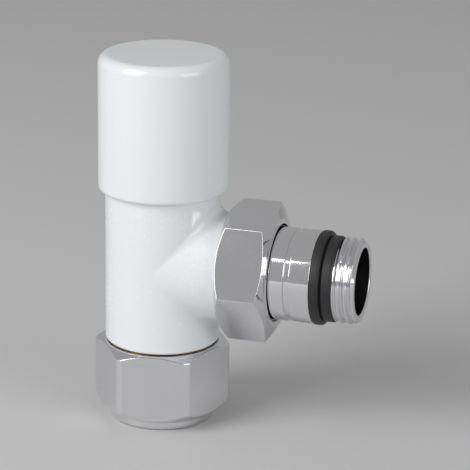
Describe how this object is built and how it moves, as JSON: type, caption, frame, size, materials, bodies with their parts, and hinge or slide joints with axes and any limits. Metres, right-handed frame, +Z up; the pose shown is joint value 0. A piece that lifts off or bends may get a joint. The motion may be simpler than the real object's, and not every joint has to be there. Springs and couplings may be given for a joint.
{
  "type": "angle radiator valve",
  "caption": "Manual angle radiator valve: white body and cylindrical handwheel, chromed compression nut below, chromed union nut and threaded tail at the side.",
  "frame": {"origin": "centre of the compression nut's foot face, on the axis of pipe, plug and handwheel; the valve stands on this face", "axes": "+Z up along the pipe, plug and handwheel axis; +X out along the radiator tail; +Y to the left seen from the tail's end"},
  "size_m": [0.0673, 0.0342, 0.0924],
  "materials": {
    "white_enamel": "gloss white enamel on brass",
    "white_cap": "gloss white",
    "hub_plastic": "plain moulded",
    "chrome": "polished chrome plate on brass",
    "brass": "turned",
    "steel": "bright zinc",
    "black_rubber": "moulded, satin",
    "washer_plastic": "waxy"
  },
  "bodies": {
    "body": {"valve_body": "white_enamel", "bonnet": "brass", "bonnet_o_ring": "black_rubber", "thrust_washer": "washer_plastic", "pipe_seal": "black_rubber"},
    "handwheel": {"spindle": "brass", "spindle_o_rings": "black_rubber", "spindle_clip": "steel", "wheel_hub": "hub_plastic", "wheel_screw": "steel", "wheel_cap": "white_cap"},
    "plug": {"plug_carrier": "brass", "plug_seal": "black_rubber", "seal_washer": "steel", "seal_screw": "steel"},
    "tail": {"tailpiece": "chrome", "tail_o_ring": "black_rubber", "tail_seal": "black_rubber"},
    "union": {"union_nut": "chrome"},
    "clamp": {"clamping_ring": "brass", "pressure_ring": "steel"},
    "foot": {"compression_nut": "chrome"}
  },
  "joints": [
    {"name": "handwheel_turn", "type": "hinge", "parent": "body", "child": "handwheel", "pos_m": [0, 0, 0.0625], "axis": [0, 0, 1], "range_deg": [0, 900]},
    {"name": "plug_rise", "type": "slide", "parent": "handwheel", "child": "plug", "axis": [0, 0, 1], "range_m": [0, 0.00375]},
    {"name": "tail_draw", "type": "slide", "parent": "body", "child": "tail", "axis": [1, 0, 0], "range_m": [0, 0.00635]},
    {"name": "union_nut_turn", "type": "hinge", "parent": "tail", "child": "union", "pos_m": [0.0236, 0, 0.0401], "axis": [1, 0, 0], "range_deg": [0, 1260]},
    {"name": "clamp_drop", "type": "slide", "parent": "body", "child": "clamp", "axis": [0, 0, -1], "range_m": [0, 0.0127]},
    {"name": "compression_nut_turn", "type": "hinge", "parent": "clamp", "child": "foot", "pos_m": [0, 0, 0.01], "axis": [0, 0, -1], "range_deg": [0, 2520]}
  ],
  "couplings": [
    {"joint": "plug_rise", "follows": "handwheel_turn", "m_per_rad": 0.00023873},
    {"joint": "tail_draw", "follows": "union_nut_turn", "m_per_rad": 0.00028871},
    {"joint": "clamp_drop", "follows": "compression_nut_turn", "m_per_rad": 0.00028871}
  ]
}
